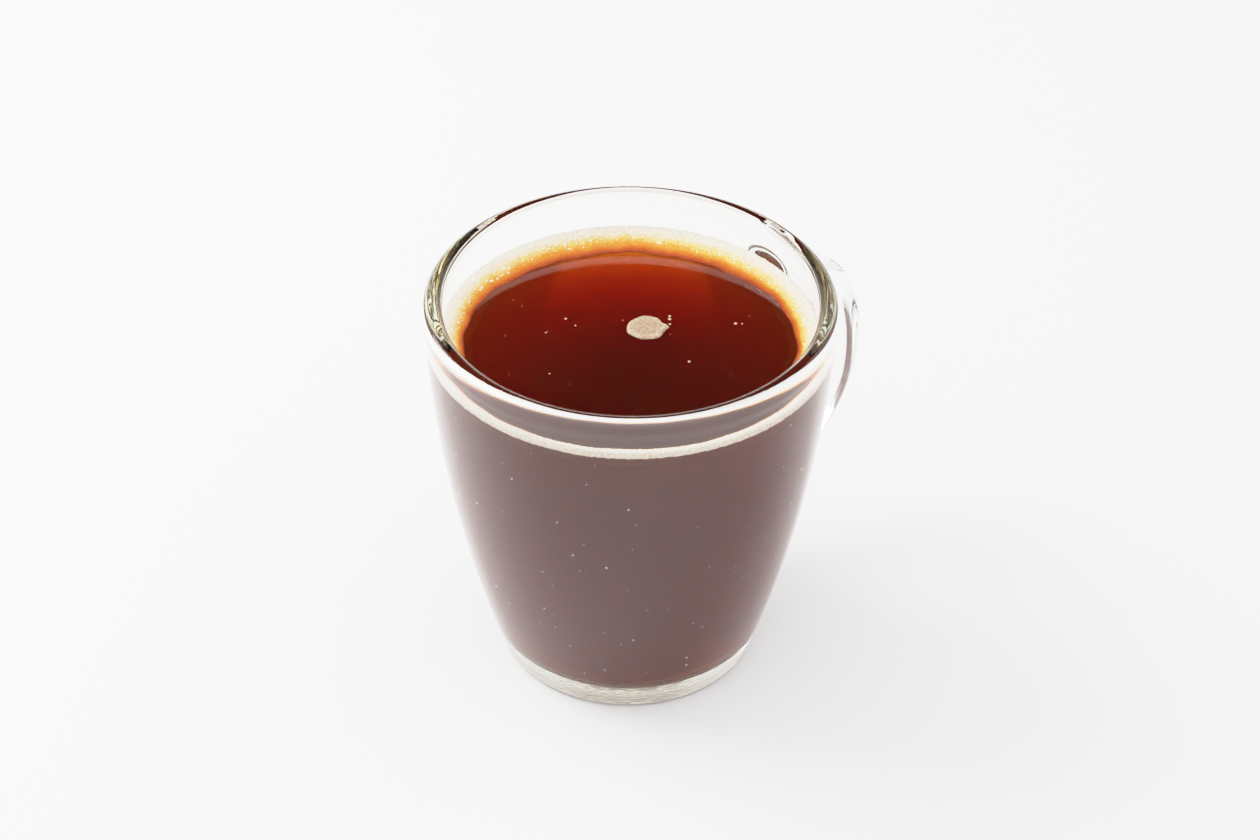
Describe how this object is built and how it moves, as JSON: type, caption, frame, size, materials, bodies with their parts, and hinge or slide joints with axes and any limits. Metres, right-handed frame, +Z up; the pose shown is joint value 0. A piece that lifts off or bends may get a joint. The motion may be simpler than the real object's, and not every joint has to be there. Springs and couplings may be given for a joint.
{
  "type": "cup of instant coffee",
  "caption": "Tapered clear glass mug with a loop handle, filled with dark coffee that carries a ring of froth and a small froth island.",
  "frame": {"origin": "centre of the mug's flat base, on the axis of the mug", "axes": "+Z up along the mug's axis, +X from the mug's axis out through the handle, +Y completes the right-handed frame"},
  "size_m": [0.1096, 0.084, 0.086],
  "materials": {
    "clear_glass": "smooth clear pressed glass with a faint green-grey tint at its edges",
    "coffee": "still dark drink with a wet surface, orange-brown where it is thin",
    "froth": "pale tan froth of fine bubbles"
  },
  "bodies": {
    "root": {"mug": "clear_glass", "coffee": "coffee", "froth_ring": "froth", "froth_island": "froth"}
  },
  "joints": []
}
